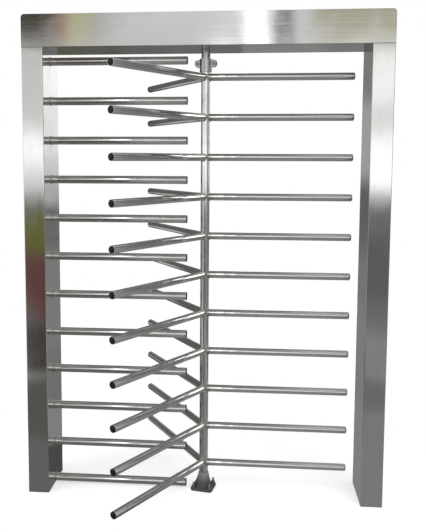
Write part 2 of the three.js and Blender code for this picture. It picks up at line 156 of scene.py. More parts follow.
def hairlineSheet(name, grainAxis):
    finish, tree, shader = newFinish(name)
    look = sheetFinish

    def grained(key, shift=(0, 0, 0)):
        across, along = look[key]
        return place(tree, [along if axis == grainAxis else across for axis in "XYZ"], shift)

    lines = mottle(tree, 1.0, vector=grained("lineScale"))
    waves = mottle(tree, look["waveScale"], 1.0, 0.4, place(tree, shift=(0.4, 0, 0.7)))
    smear = patches(tree, look["smearScale"], 0.45, 0.68, 5.0, 0.62)
    scuff = patches(tree, 1.0, 0.60, 0.72, 4.0, 0.7, grained("scuffScale", (3, 1, 2)))
    colour = tint(tree, lines, grey(look["dull"], 0.012), grey(look["bright"], 0.006))
    colour = film(tree, colour, smear, look["smearShare"], grey(look["smearGrey"], 0.03))
    colour = film(tree, colour, scuff, look["scuffShare"], grey(look["scuffGrey"], 0.02))
    rough = span(tree, lines, 0.2, 0.8, look["roughness"] - 0.02, look["roughness"] + 0.04)
    rough = plus(tree, rough, times(tree, smear, look["smearRoughness"]))
    rough = plus(tree, rough, times(tree, scuff, look["scuffRoughness"]))
    surface = relief(tree, waves, look["waveDepth"])
    surface = relief(tree, lines, look["lineDepth"], 0.5, surface)
    turn = addNode(tree, "ShaderNodeTangent", direction_type="RADIAL", axis=grainAxis)
    plug(tree, shader, {
        "Base Color": colour, "Metallic": 1.0, "Roughness": rough, "Normal": surface,
        "Anisotropic": look["stretch"], "Tangent": turn.outputs[0]})
    return finish


# polished tube, tinted straw and brown where the weld heated it
tubeFinish = {
    "bright": 0.84, "dull": 0.74, "roughness": 0.09, "lineScale": (5, 420, 420),
    "lineDepth": 0.00001, "markScale": 14.0, "markShare": 0.25, "markGrey": 0.58,
    "heatScale": 45.0, "straw": (0.60, 0.55, 0.30, 1.0), "strawShare": 0.30,
    "brown": (0.30, 0.27, 0.17, 1.0), "brownShare": 0.22,
}


def polishedTube(name, heat):
    finish, tree, shader = newFinish(name)
    look = tubeFinish
    lines = mottle(tree, 1.0, vector=place(tree, look["lineScale"]))
    mark = patches(tree, look["markScale"], 0.52, 0.70, 5.0, 0.65)
    colour = tint(tree, lines, grey(look["dull"], 0.008), grey(look["bright"], 0.004))
    colour = film(tree, colour, mark, look["markShare"], grey(look["markGrey"], 0.04))
    warmth = heat(tree, mottle(tree, look["heatScale"]))
    straw = span(tree, warmth, 0.0, 0.55, 0.0, look["strawShare"])
    brown = span(tree, warmth, 0.5, 1.0, 0.0, look["brownShare"])
    colour = tint(tree, brown, tint(tree, straw, colour, look["straw"]), look["brown"])
    rough = span(tree, lines, 0.2, 0.8, look["roughness"], look["roughness"] + 0.05)
    rough = plus(tree, rough, times(tree, mark, 0.10))
    rough = plus(tree, rough, times(tree, warmth, 0.10))
    plug(tree, shader, {
        "Base Color": colour, "Metallic": 1.0, "Roughness": rough,
        "Normal": relief(tree, lines, look["lineDepth"], 0.5)})
    return finish


# how far a place was heated: near a bar's root, and at each level of the column
def heatAtRoot(rootAt, reach):
    def heat(tree, waver):
        along = plus(tree, coordinate(tree, 0), times(tree, waver, reach * 0.6))
        return span(tree, along, rootAt + reach * 0.3, rootAt + reach * 1.3, 1.0, 0.0, True)
    return heat


def heatAtLevels(firstLevel, pitch, reach):
    def heat(tree, waver):
        height = calc(tree, "SUBTRACT", coordinate(tree, 2), firstLevel - pitch / 2)
        height = calc(tree, "FLOORED_MODULO", height, pitch)
        off = calc(tree, "ABSOLUTE", calc(tree, "SUBTRACT", height, pitch / 2))
        off = plus(tree, off, times(tree, waver, reach * 0.5))
        return span(tree, off, reach * 0.7, reach * 1.9, 1.0, 0.0, True)
    return heat


# black moulded plastic with a fine grain and a little dust
capFinish = {"black": 0.010, "dust": 0.05, "dustScale": 120.0, "dustShare": 0.35,
             "roughness": 0.42, "gloss": 0.3, "grainScale": 1500.0, "grainDepth": 0.00008}


def mouldedPlastic(name):
    finish, tree, shader = newFinish(name)
    look = capFinish
    grain = mottle(tree, look["grainScale"], 2.0, 0.5)
    dust = patches(tree, look["dustScale"], 0.50, 0.75)
    colour = film(tree, grey(look["black"]), dust, look["dustShare"], grey(look["dust"], 0.05))
    rough = span(tree, dust, 0.0, 1.0, look["roughness"], look["roughness"] + 0.22)
    plug(tree, shader, {
        "Base Color": colour, "Roughness": rough, "Specular IOR Level": look["gloss"],
        "Normal": relief(tree, grain, look["grainDepth"], 0.6)})
    return finish


# dark paint over a sand casting, rubbed to grey in places
castingFinish = {
    "paint": 0.075, "rubbed": 0.24, "rubScale": 95.0, "rubShare": 0.6, "roughness": 0.46,
    "sandScale": 420.0, "sandDepth": 0.0007, "lumpScale": 60.0, "lumpDepth": 0.00098,
    # the lighter grey at the neck, and the heights in metres between which the colour turns to
    # it
    "neckGrey": 0.30, "neckHeights": (0.030, 0.078),
}


def paintedCasting(name, lighterNeck=False):
    finish, tree, shader = newFinish(name)
    look = castingFinish
    sand = mottle(tree, look["sandScale"], 4.0)
    lumps = mottle(tree, look["lumpScale"], 3.0, 0.5)
    rub = patches(tree, look["rubScale"], 0.56, 0.66, 5.0, 0.7)
    colour = tint(tree, lumps, grey(look["paint"] * 0.8), grey(look["paint"] * 1.3, 0.04))
    colour = film(tree, colour, rub, look["rubShare"], grey(look["rubbed"], 0.03))
    # on request the colour turns to a lighter grey with height, between the two neck heights
    if lighterNeck:
        towardsNeck = span(tree, coordinate(tree, 2), *look["neckHeights"], 0.0, 0.9, True)
        neckTone = tint(tree, lumps, grey(look["neckGrey"] * 0.7), grey(look["neckGrey"] * 1.2))
        colour = tint(tree, towardsNeck, colour, neckTone)
    rough = span(tree, sand, 0.3, 0.7, look["roughness"] - 0.08, look["roughness"] + 0.14)
    surface = relief(tree, lumps, look["lumpDepth"], 0.5)
    surface = relief(tree, sand, look["sandDepth"], 0.5, surface)
    plug(tree, shader, {
        "Base Color": colour, "Roughness": rough, "Normal": surface,
        "Metallic": span(tree, rub, 0.0, 1.0, 0.15, 0.6)})
    return finish


# turned or milled steel: fine rings, an oil film and a few stains
machinedFinish = {"ringScale": (8.0, 8.0, 1400.0), "ringDepth": 0.00004, "stainScale": 70.0,
                  "stainShare": 0.45, "stainRoughness": 0.15}


def machinedSteel(name, bright, roughness):
    finish, tree, shader = newFinish(name)
    look = machinedFinish
    rings = mottle(tree, 1.0, vector=place(tree, look["ringScale"]))
    stain = patches(tree, look["stainScale"], 0.50, 0.70, 5.0, 0.65)
    colour = tint(tree, rings, grey(bright * 0.82, 0.01), grey(bright * 1.12, 0.01))
    colour = film(tree, colour, stain, look["stainShare"], grey(bright * 0.5, 0.08))
    rough = span(tree, rings, 0.2, 0.8, roughness - 0.05, roughness + 0.08)
    rough = plus(tree, rough, times(tree, stain, look["stainRoughness"]))
    plug(tree, shader, {
        "Base Color": colour, "Metallic": 1.0, "Roughness": rough,
        "Normal": relief(tree, rings, look["ringDepth"], 0.6)})
    return finish


# zinc plate: small crystals, cloudy patches and a faint yellow passivation
zincFinish = {"crystalScale": 420.0, "crystalShare": 0.16, "cloudScale": 38.0,
              "cloudDepth": 0.0002}


def zincPlated(name, bright=0.50, yellow=0.03):
    finish, tree, shader = newFinish(name)
    look = zincFinish
    crystals = addNode(tree, "ShaderNodeTexVoronoi",
                       {"Vector": place(tree), "Scale": look["crystalScale"]}).outputs["Color"]
    fleck = addNode(tree, "ShaderNodeSeparateColor", {0: crystals}).outputs[0]
    cloud = mottle(tree, look["cloudScale"], 4.0)
    colour = tint(tree, cloud, grey(bright * 0.80, yellow), grey(bright * 1.10, yellow * 2))
    colour = film(tree, colour, fleck, look["crystalShare"], grey(bright * 1.4))
    rough = plus(tree, span(tree, cloud, 0.3, 0.7, 0.32, 0.44), times(tree, fleck, 0.08))
    plug(tree, shader, {
        "Base Color": colour, "Metallic": 1.0, "Roughness": rough,
        "Normal": relief(tree, cloud, look["cloudDepth"], 0.4)})
    return finish


# weld metal: a mottled grey, warmer where it is darker
weldFinish = {"dark": (0.40, 0.38, 0.33, 1), "bright": (0.72, 0.71, 0.68, 1),
              "mottleScale": 160.0, "depth": 0.0003}


def weldMetal(name):
    finish, tree, shader = newFinish(name)
    look = weldFinish
    burn = mottle(tree, look["mottleScale"], 4.0)
    clean = span(tree, burn, 0.35, 0.60, smooth=True)
    colour = tint(tree, clean, look["dark"], look["bright"])
    plug(tree, shader, {
        "Base Color": colour, "Metallic": 1.0,
        "Roughness": span(tree, burn, 0.3, 0.7, 0.26, 0.44),
        "Normal": relief(tree, burn, look["depth"], 0.6)})
    return finish


# black enamel with a fine orange peel and some dust
enamelFinish = {"black": 0.022, "dust": 0.12, "dustScale": 30.0, "dustShare": 0.25,
                "peelScale": 260.0, "peelDepth": 0.0002, "coat": 0.3}


def blackEnamel(name):
    finish, tree, shader = newFinish(name)
    look = enamelFinish
    peel = mottle(tree, look["peelScale"], 2.0, 0.5)
    dust = patches(tree, look["dustScale"], 0.5, 0.8)
    colour = film(tree, grey(look["black"]), dust, look["dustShare"], grey(look["dust"], 0.06))
    plug(tree, shader, {
        "Base Color": colour, "Coat Weight": look["coat"],
        "Roughness": span(tree, dust, 0.0, 1.0, 0.30, 0.55),
        "Normal": relief(tree, peel, look["peelDepth"], 0.5)})
    return finish


# shapes are (points, faces) in millimetres
def loft(rings, closed=False):
    count = len(rings[0])
    points = [p for ring in rings for p in ring]
    faces = []
    steps = len(rings) if closed else len(rings) - 1
    for step in range(steps):
        low = step * count
        high = ((step + 1) % len(rings)) * count
        for i in range(count):
            j = (i + 1) % count
            faces.append((low + i, low + j, high + j, high + i))
    if not closed:
        faces.append(tuple(reversed(range(count))))
        faces.append(tuple(range(steps * count, steps * count + count)))
    return points, faces


def joined(*shapes):
    points, faces = [], []
    for shapePoints, shapeFaces in shapes:
        start = len(points)
        points += shapePoints
        faces += [tuple(start + i for i in face) for face in shapeFaces]
    return points, faces


def moved(shape, matrix):
    return [tuple(matrix @ Vector(p)) for p in shape[0]], shape[1]


def shifted(shape, x=0.0, z=0.0):
    return [(p[0] + x, p[1], p[2] + z) for p in shape[0]], shape[1]


def circle(radius, height, sides):
    turn = 2 * math.pi / sides
    return [(radius * math.cos(i * turn), radius * math.sin(i * turn), height)
            for i in range(sides)]


# flat points along an arc; its two angles are in half turns
def arc(x, y, radius, start, end, steps):
    angles = [math.pi * (start + (end - start) * step / steps) for step in range(steps + 1)]
    return [(x + radius * math.cos(angle), y + radius * math.sin(angle)) for angle in angles]


def turned(profile, sides=48, closed=False):
    return loft([circle(radius, height, sides) for radius, height in profile], closed)


alongX = Matrix.Rotation(math.pi / 2, 4, "Y")  # takes +Z to +X
alongY = Matrix.Rotation(-math.pi / 2, 4, "X")  # takes +Z to +Y


# a rectangle with round corners; flatSteps divides its four flats
def cushionRing(width, depth, radius, height, bendSteps=6, flatSteps=1):
    x, y = width / 2 - radius, depth / 2 - radius
    ring = []
    for cornerX, cornerY, start in ((x, y, 0.0), (-x, y, 0.5), (-x, -y, 1.0), (x, -y, 1.5)):
        ring += arc(cornerX, cornerY, radius, start, start + 0.5, bendSteps)
    spread = []
    for i, point in enumerate(ring):
        spread.append((*point, height))
        if i % (bendSteps + 1) == bendSteps:
            after = ring[(i + 1) % len(ring)]
            for step in range(1, flatSteps):
                share = step / flatSteps
                spread.append((*(a + (b - a) * share for a, b in zip(point, after)), height))
    return spread


# the same ring pulled out or in to a circle
def roundedTo(ring, radius, height):
    out = []
    for x, y, _ in ring:
        size = math.hypot(x, y)
        out.append((x / size * radius, y / size * radius, height))
    return out


# a flat outline with holes, thickened from low to high
def plateShape(outline, holes, low, high):
    loops = [[Vector((x, y, 0)) for x, y in loop] for loop in [outline, *holes]]
    triangles = tessellate_polygon(loops)
    flat = [p for loop in loops for p in loop]
    count = len(flat)
    points = [(p.x, p.y, low) for p in flat] + [(p.x, p.y, high) for p in flat]
    faces = [tuple(t) for t in triangles]
    faces += [tuple(count + i for i in reversed(t)) for t in triangles]
    start = 0
    for loop in loops:
        for i in range(len(loop)):
            a, b = start + i, start + (i + 1) % len(loop)
            faces.append((a, b, count + b, count + a))
        start += len(loop)
    return points, faces


# hexagons have a circle's points, so that both fit in one loft; edge and crown are
# shares of the width
hexSides, hexEdge, hexCrown = 36, 0.045, 0.485


def hexRing(acrossFlats, height):
    ring = []
    for x, y, _ in circle(1.0, height, hexSides):
        fold = (math.atan2(y, x) + math.pi / 6) % (math.pi / 3) - math.pi / 6
        radius = acrossFlats / 2 / math.cos(fold)
        ring.append((radius * x, radius * y, height))
    return ring


def hexHead(acrossFlats, low, high, bothEnds=False):
    edge, crown = acrossFlats * hexEdge, acrossFlats * hexCrown
    rings = [hexRing(acrossFlats, low)]
    if bothEnds:
        rings = [circle(crown, low, hexSides), hexRing(acrossFlats, low + edge)]
    rings += [hexRing(acrossFlats, high - edge), circle(crown, high, hexSides)]
    return loft(rings)


def washer(outer, inner, low, high):
    bevel = (high - low) * 0.2
    return turned([(inner, low), (outer - bevel, low), (outer, low + bevel),
                   (outer, high - bevel), (outer - bevel, high), (inner, high)], 32, True)


def thread(radius, low, high, pitch):
    profile = [(radius * 0.8, low), (radius, low + pitch / 2)]
    steps = int((high - low) / pitch) - 1
    for step in range(steps):
        at = low + pitch * (step + 1)
        profile += [(radius * 0.88, at), (radius, at + pitch / 2)]
    profile.append((radius * 0.78, high))
    return turned(profile, 20)


# angles in degrees above which an edge is sharp, on sheets, on tubes and on fasteners
sharpAngle, tubeSharp, boltSharp = 32, 50, 28


def makeMesh(name, shape, sharp=sharpAngle):
    mesh = bpy.data.meshes.new(name)
    mesh.from_pydata([tuple(c * mm for c in p) for p in shape[0]], [], shape[1])
    work = bmesh.new()
    work.from_mesh(mesh)
    bmesh.ops.remove_doubles(work, verts=work.verts, dist=0.000002)
    bmesh.ops.recalc_face_normals(work, faces=work.faces)
    for face in work.faces:
        face.smooth = True
    work.to_mesh(mesh)
    work.free()
    mesh.set_sharp_from_angle(angle=math.radians(sharp))
    return mesh


def addObject(name, data):
    made = bpy.data.objects.new(name, data)
    scene.collection.objects.link(made)
    return made


def bevelEdges(thing, width):
    edge = thing.modifiers.new("edges", "BEVEL")
    edge.width = width * mm
    edge.segments = 2
    edge.limit_method = "ANGLE"
    edge.angle_limit = math.radians(40)
    return edge


def makePiece(name, mesh, finish, body, instead=(), at=None, bevel=0.0, flatKept=False):
    material, slot = finishes[finish]
    if isinstance(mesh, tuple):
        mesh = makeMesh(name, mesh)
    if not mesh.materials:
        mesh.materials.append(material)
    piece = addObject(name, mesh)
    if at is not None:
        piece.matrix_world = at
    if bevel:
        bevelEdges(piece, bevel).harden_normals = True
    if flatKept:
        piece.modifiers.new("flatKept", "WEIGHTED_NORMAL").keep_sharp = True
    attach(piece, body)
    if instead:
        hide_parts(*instead)


# cuts a shape out of a mesh, or joins one to it, and gives the new mesh
def cutOut(mesh, shape, operation="DIFFERENCE"):
    body = addObject("cutBody", mesh)
    tool = addObject("cutTool", makeMesh("cutTool", shape))
    cut = body.modifiers.new("cut", "BOOLEAN")
    cut.object = tool
    cut.solver = "EXACT"
    cut.operation = operation
    bpy.context.view_layer.update()
    result = bpy.data.meshes.new_from_object(
        body.evaluated_get(bpy.context.evaluated_depsgraph_get()))
    result.name = mesh.name
    bpy.data.objects.remove(body)
    bpy.data.objects.remove(tool)
    result.set_sharp_from_angle(angle=math.radians(sharpAngle))
    return result


def numbered(name, index):
    return f"{name}_{index + 1:02d}"


def standing(x, y, z):
    return Matrix.Translation((x * mm, y * mm, z * mm))


# the lowest and the highest corner of a solid, in millimetres
def boxOf(node):
    return [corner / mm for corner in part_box(node)]


def heightOf(node):
    low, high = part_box(node)
    return (low.z + high.z) / 2 / mm


levelCount = 11
barCount = 12
levels = [heightOf(numbered("arm_right", i)) for i in range(levelCount)]
barHeights = [heightOf(numbered("comb_bar", i)) for i in range(barCount)]
columnHeat = heatAtLevels(levels[0] * mm, (levels[1] - levels[0]) * mm, 0.013)

# each finish with the material slot of its pieces
finishes = {
    "postSheet": (hairlineSheet("post_hairline_sheet", "Z"), "sheet_steel"),
    "headerSheet": (hairlineSheet("header_hairline_sheet", "X"), "sheet_steel"),
    "armTube": (polishedTube("arm_polished_tube", heatAtRoot(0.021, 0.018)), "tube_steel"),
    "combTube": (polishedTube("comb_polished_tube", heatAtRoot(0.0, 0.010)), "tube_steel"),
    "columnTube": (polishedTube("column_polished_tube", columnHeat), "tube_steel"),
    "weld": (weldMetal("weld_metal"), "tube_steel"),
    "cap": (mouldedPlastic("black_moulded_cap"), "end_cap"),
    "casting": (paintedCasting("dark_painted_casting"), "dark_casting"),
    # this foot turns a lighter grey with height towards its neck
    "footCasting": (paintedCasting("foot_casting_lighter_at_neck", True), "dark_casting"),
    "clamp": (machinedSteel("clamp_milled_steel", 0.54, 0.16), "machined_steel"),
    "shaft": (machinedSteel("shaft_turned_steel", 0.52, 0.15), "machined_steel"),
    "zinc": (zincPlated("zinc_plated_steel"), "zinc_steel"),
    "fastener": (zincPlated("zinc_plated_fastener", 0.44, 0.02), "zinc_steel"),
    "enamel": (blackEnamel("solenoid_black_enamel"), "black_paint"),
}
print("turnstile: finishes ready")

# posts: a folded sheet box with plates inside at foot and head
# (a bolt pattern is half its width, half its depth and the radius of its four holes)
post = {"width": 100.0, "depth": 270.0, "bend": 4.0, "sheet": 2.0, "edge": 0.4,
        "footPlate": 8.0, "headPlate": 6.0, "plateGap": 0.3, "plateInset": 0.2,
        "anchors": (28.0, 100.0, 7.0), "headBolts": (30.0, 105.0, 5.5),
        "cableHole": 20.0, "barHole": 19.3, "barCut": 8.0}


def postShape(low, high):
    edge, sheet = post["edge"], post["sheet"]

    def ring(height, inset):
        return cushionRing(post["width"] - 2 * inset, post["depth"] - 2 * inset,
                           post["bend"] - inset, height)

    return loft([ring(low, edge), ring(low + edge, 0.0), ring(high - edge, 0.0),
                 ring(high, edge), ring(high, sheet - edge), ring(high - edge, sheet),
                 ring(low + edge, sheet), ring(low, sheet - edge)], closed=True)


def postPlate(low, high, pattern):
    less = 2 * post["sheet"] + post["plateGap"]
    ring = cushionRing(post["width"] - less, post["depth"] - less, 2.0, 0.0, 3)
    halfWidth, halfDepth, bolt = pattern
    holes = [(side * halfWidth, end * halfDepth, bolt) for side in (-1, 1) for end in (-1, 1)]
    holes.append((0, 0, post["cableHole"]))
    loops = [[(x + px, y + py) for x, y, _ in circle(radius, 0.0, 24)][::-1]
             for px, py, radius in holes]
    return plateShape([(x, y) for x, y, _ in ring], loops, low, high)


def buildPost(side, withBars):
    node = side + "_post"
    low, high = boxOf(node)
    centre = (low.x + high.x) / 2
    mesh = makeMesh(node + "_sheet", shifted(postShape(low.z, high.z), x=centre))
    if withBars:
        cut = post["barCut"]
        rod = moved(turned([(post["barHole"], -cut), (post["barHole"], cut)]), alongX)
        mesh = cutOut(mesh, joined(*[shifted(rod, high.x, height) for height in barHeights]))
    makePiece(node + "_sheet", mesh, "postSheet", "frame", [node], flatKept=True)
    inset = post["plateInset"]
    foot = postPlate(low.z + inset, low.z + post["footPlate"], post["anchors"])
    head = postPlate(high.z - post["headPlate"], high.z - inset, post["headBolts"])
    for name, shape in (("foot_plate", foot), ("head_plate", head)):
        makePiece(f"{node}_{name}", shifted(shape, x=centre), "zinc", "frame")


buildPost("left", True)
buildPost("right", False)
print("turnstile: posts ready")

# header: a folded channel and a cover that is bent down over both ends
header = {"bend": 3.0, "sheet": 2.0, "edge": 0.35, "endRadius": 16.0, "shaftHole": 23.7,
          "endSteps": 10, "lip": 22.0, "screws": 6, "screwInset": 90.0, "socket": 3.0}


def channelSection(x, low, top, halfDepth):
    def path(inset):
        bend = header["bend"]
        half = [(-halfDepth + inset, top)]
        half += arc(bend - halfDepth, low + bend, bend - inset, 1.0, 1.5, 6)
        return half + [(-y, z) for y, z in reversed(half)]
    return [(x, y, z) for y, z in path(0.0) + path(header["sheet"])[::-1]]


def buildHeader():
    sheet, radius = header["sheet"], header["endRadius"]
    low, high = boxOf("header_channel")
    half = high.x

    def endArc(top, inset):
        return arc(half - radius, top - radius, radius - inset, 0.0, 0.5, header["endSteps"])

    stations = endArc(high.z, 0.0)
    rings = [channelSection(-x, low.z, top, high.y) for x, top in stations]
    rings += [channelSection(x, low.z, top, high.y) for x, top in stations[::-1]]
    mesh = makeMesh("header_channel_sheet", loft(rings))
    hole = turned([(header["shaftHole"], low.z - 5), (header["shaftHole"], low.z + 8)], 64)
    makePiece("header_channel_sheet", cutOut(mesh, hole), "headerSheet", "frame",
              ["header_channel"], bevel=header["edge"], flatKept=True)

    low, high = boxOf("header_cover")
    strip = []
    for inset in (0.0, sheet):
        side = [(half - inset, low.z)] + endArc(high.z, inset)
        path = side + [(-x, z) for x, z in reversed(side)]
        strip += path if inset == 0.0 else path[::-1]
    rings = [[(x, y, z) for x, z in strip] for y in (low.y, high.y)]
    cover = makeMesh("header_cover_sheet", loft(rings))
    lipEnd = half - 2 * radius
    lipTop, lipFoot = high.z - 0.5 * sheet, high.z - header["lip"]
    for side in (-1, 1):
        outer, inner = side * high.y, side * (high.y - sheet)
        lip = [(outer, lipTop), (outer, lipFoot), (inner, lipFoot), (inner, lipTop)]
        lip = loft([[(x, y, z) for y, z in lip] for x in (-lipEnd, lipEnd)])
        cover = cutOut(cover, lip, "UNION")
    makePiece("header_cover_sheet", cover, "headerSheet", "frame", ["header_cover"],
              bevel=header["edge"], flatKept=True)


# button head screws through the channel's back into the cover's lip
def buildCoverScrews():
    high = boxOf("header_channel")[1]
    button = [(2.4, -8.0), (2.5, -7.6), (2.5, 0.02), (4.9, 0.02), (5.0, 0.3), (4.6, 1.5),
              (3.6, 2.3), (2.4, 2.7), (1.2, 2.78)]
    socket = loft([hexRing(header["socket"], height) for height in (1.1, 3.0)])
    screw = cutOut(makeMesh("cover_screw", turned(button, 32)), socket)
    reach = high.x - header["screwInset"]
    height = high.z - header["lip"] / 2 - header["sheet"]
    for number in range(header["screws"]):
        x = -reach + 2 * reach * number / (header["screws"] - 1)
        makePiece(numbered("cover_screw", number), screw, "fastener", "frame",
                  at=standing(x, high.y, height) @ alongY)


buildHeader()
buildCoverScrews()
print("turnstile: header ready")

# arms: coped tube with its weld, and a black cap pressed into the end
# (beadAt is how far the weld's middle line lies along the tube and off it)
arm = {"radius": 17.0, "wall": 1.5, "reach": 690.0, "capDome": 5.0, "capDepth": 20.0,
       "columnRadius": 21.3, "beadRadius": 1.8, "beadRipples": 44, "beadAt": (0.9, 0.7)}
tubeSides, beadSteps, beadSides = 48, 132, 8
tubeRings = 60.0  # how far from both ends a tube's first and last straight rings lie


def straightRing(radius, x, sides=tubeSides):
    return [(x, y, z) for y, z, _ in circle(radius, 0.0, sides)]


# the ring where a tube meets the column's round face, or one ahead of it
def copedRing(radius, ahead=0.0, sides=tubeSides):
    return [(math.sqrt(arm["columnRadius"] ** 2 - y * y) + ahead, y, z)
            for _, y, z in straightRing(radius, 0.0, sides)]


def barTube(radius, wall, tip, root):
    inner = radius - wall
    straight = [(radius, tubeRings), (radius, tip - 0.5), (radius - 0.15, tip - 0.12),
                (radius - 0.5, tip), (inner + 0.3, tip), (inner, tip - 0.3),
                (inner, tip - tubeRings), (inner, tubeRings)]
    rings = [straightRing(size, x) for size, x in straight]
    return loft([root(radius), *rings, root(inner)], closed=True)


# a rippled bead along the closed line of its middle, round a bar
def weldBead(line, beadRadius, ripples):
    rings = []
    middle = [Vector(point) for point in line]
    for i, here in enumerate(middle):
        ahead = (middle[(i + 1) % beadSteps] - middle[i - 1]).normalized()
        out = Vector((0, here.y, here.z)).normalized()
        side = ahead.cross(out).normalized()
        out = side.cross(ahead).normalized()
        phase = (ripples * i / beadSteps) % 1.0
        size = beadRadius * (0.86 + 0.16 * math.sqrt(max(0.0, 1 - (2 * phase - 1) ** 2)))
        rings.append([tuple(here + x * out + y * side)
                      for x, y, _ in circle(size, 0.0, beadSides)])
    return loft(rings, closed=True)


capDetail = {"gap": 0.15, "ribs": 3, "ribPitch": 4.0, "gate": 2.2, "gateDepth": 0.35,
             "domeSteps": 10}


def capShape(radius, tip, dome, depth, lip=0.0, lipRadius=0.0):
    foot, edge = tip - depth, radius - capDetail["gap"]
    profile = [(radius - 1.2, foot), (radius - 0.3, foot + 1.0)]
    for rib in range(capDetail["ribs"]):  # ribs that grip the tube
        at = foot + 3.0 + rib * capDetail["ribPitch"]
        profile += [(radius - 0.6, at), (radius - 0.1, at + 1.0), (radius - 0.6, at + 2.0)]
    profile.append((edge, tip - 1.0))
    if lip:
        profile += [(edge, tip + 0.1), (lipRadius - 0.3, tip + 0.1), (lipRadius, tip + 0.5),
                    (lipRadius, tip + lip)]
        edge = lipRadius
    profile += [(edge * x, tip + lip + (dome - lip) * y)
                for x, y in arc(0, 0, 1, 0.0, 0.5, capDetail["domeSteps"])[1:-1]]
    top, gate, sunk = tip + dome, capDetail["gate"], tip + dome - capDetail["gateDepth"]
    profile += [(gate, top - 0.05), (gate - 0.3, sunk), (0.6, sunk)]  # moulding gate
    return moved(turned(profile, 40), alongX)


def buildArms():
    radius, wall, dome = arm["radius"], arm["wall"], arm["capDome"]
    tip = arm["reach"] - dome
    tube = makeMesh("arm_tube", barTube(radius, wall, tip, copedRing))
    ahead, lift = arm["beadAt"]
    bead = weldBead(copedRing(radius + lift, ahead, beadSteps), arm["beadRadius"],
                    arm["beadRipples"])
    bead = makeMesh("arm_weld", bead, tubeSharp)
    cap = capShape(radius - wall, tip, dome, arm["capDepth"])
    cap = makeMesh("arm_cap", cap, tubeSharp)
    for wing, name in enumerate(("right", "back", "front")):
        turn = Matrix.Rotation(2 * math.pi * wing / 3, 4, "Z")
        for level, height in enumerate(levels):
            at = standing(0, 0, height) @ turn
            number = numbered(name, level)
            makePiece("arm_tube_" + number, tube, "armTube", "rotor", ["arm_" + number], at)
            makePiece("arm_weld_" + number, bead, "weld", "rotor", at=at)
            makePiece("arm_cap_" + number, cap, "cap", "rotor", at=at)


buildArms()
print("turnstile: arms ready")

# comb: bars welded into the left post, with a lipped black plug in each free end
comb = {"radius": 19.0, "wall": 1.5, "plugLip": 2.6, "plugDome": 4.6, "plugDepth": 20.0,
        "inside": 38.0, "beadRadius": 1.9, "beadRipples": 40, "beadAt": (0.8, 0.8)}


def buildComb():
    radius, wall, dome = comb["radius"], comb["wall"], comb["plugDome"]
    face = boxOf("left_post")[1].x
    tip = boxOf("comb_bar_01")[1].x - face - dome
    tube = makeMesh("comb_tube", barTube(radius, wall, tip,
                                         lambda size: straightRing(size, -comb["inside"])))
    ahead, lift = comb["beadAt"]
    bead = weldBead(straightRing(radius + lift, ahead, beadSteps), comb["beadRadius"],
                    comb["beadRipples"])
    bead = makeMesh("comb_weld", bead, tubeSharp)
    cap = capShape(radius - wall, tip, dome, comb["plugDepth"], comb["plugLip"], radius)
    cap = makeMesh("comb_plug", cap, tubeSharp)
    for bar, height in enumerate(barHeights):
        at = standing(face, 0, height)
        makePiece(numbered("comb_tube", bar), tube, "combTube", "frame",
                  [numbered("comb_bar", bar)], at)
        makePiece(numbered("comb_weld", bar), bead, "weld", "frame", at=at)
        makePiece(numbered("comb_plug", bar), cap, "cap", "frame", at=at)


buildComb()
print("turnstile: comb ready")

# column and the drive shaft that stands in its head
# (a nut or bolt head is its width across flats and its height)
column = {"radius": 21.0, "wall": 3.0, "spigot": 15.0, "plugDepth": 30.0, "shaft": 17.7,
          "journal": 15.0, "footGap": 0.4, "headGap": 0.3, "nut": (39.8, 9.0),
          "threadEnd": 10.0, "sides": 72}


def buildColumn():
    low, high = boxOf("rotor_column")
    radius, spigot = column["radius"], column["spigot"]
    inner = radius - column["wall"]
    foot = boxOf("foot_bearing_housing")[1].z + column["footGap"]
    profile = [(spigot - 1, low.z), (spigot, low.z + 1), (spigot, foot), (radius - 1, foot),
               (radius, foot + 1), (radius, high.z - 0.8), (radius - 0.8, high.z),
               (inner + 0.4, high.z), (inner, high.z - 0.4),
               (inner, foot + column["plugDepth"])]
    makePiece("rotor_column_tube", turned(profile, column["sides"]), "columnTube", "rotor",
              ["rotor_column"])

    head = high.z + column["headGap"]
    low, high = boxOf("drive_shaft")
    shaft, journal, collar = column["shaft"], column["journal"], radius
    under = boxOf("header_channel")[0].z
    shoulder = boxOf("mechanism_plate")[1].z
    nutFoot = high.z - column["threadEnd"]
    profile = [(shaft - 1, low.z), (shaft, low.z + 1), (shaft, head), (collar - 0.6, head),
               (collar, head + 0.6), (collar, under - 0.8), (collar - 0.8, under),
               (shaft, under), (shaft, shoulder - 0.6), (shaft - 0.6, shoulder),
               (journal, shoulder), (journal, nutFoot), (journal, high.z - 0.6),
               (journal - 0.6, high.z)]
    flats, height = column["nut"]
    nut = shifted(hexHead(flats, 0.1, height, True), z=nutFoot)
    makePiece("drive_shaft_bar", joined(turned(profile, column["sides"]), nut), "shaft",
              "rotor", ["drive_shaft"])


buildColumn()

# clamp: two halves round the joint of column and shaft, each with two rounded lugs
# (a washer is its outer and its inner radius)
clamp = {"outer": 29.0, "bore": 21.3, "halfSplit": 1.0, "edge": 1.2, "lugReach": 52.0,
         "lugHeight": 34.0, "lugCorner": 13.0, "lugThickness": 10.0, "lugRise": 9.0,
         "lugRoot": 24.3, "turn": -15.0, "boltOffset": 40.0, "boltRadius": 4.0,
         "pitch": 1.25, "tail": 17.0, "head": (13.0, 5.3), "nut": (13.0, 6.5),
         "washer": (8.0, 4.3), "washerHeight": 1.6, "gap": 0.05, "steps": 36}


def clampHalf(side, low, high):
    outline = []
    for radius, way in ((clamp["bore"], 1), (clamp["outer"], -1)):
        start = math.asin(clamp["halfSplit"] / radius) / math.pi
        outline += arc(0, 0, radius, start, 1 - start, clamp["steps"])[::way]
    return loft([[(x, side * y, z) for x, y in outline] for z in (low, high)])


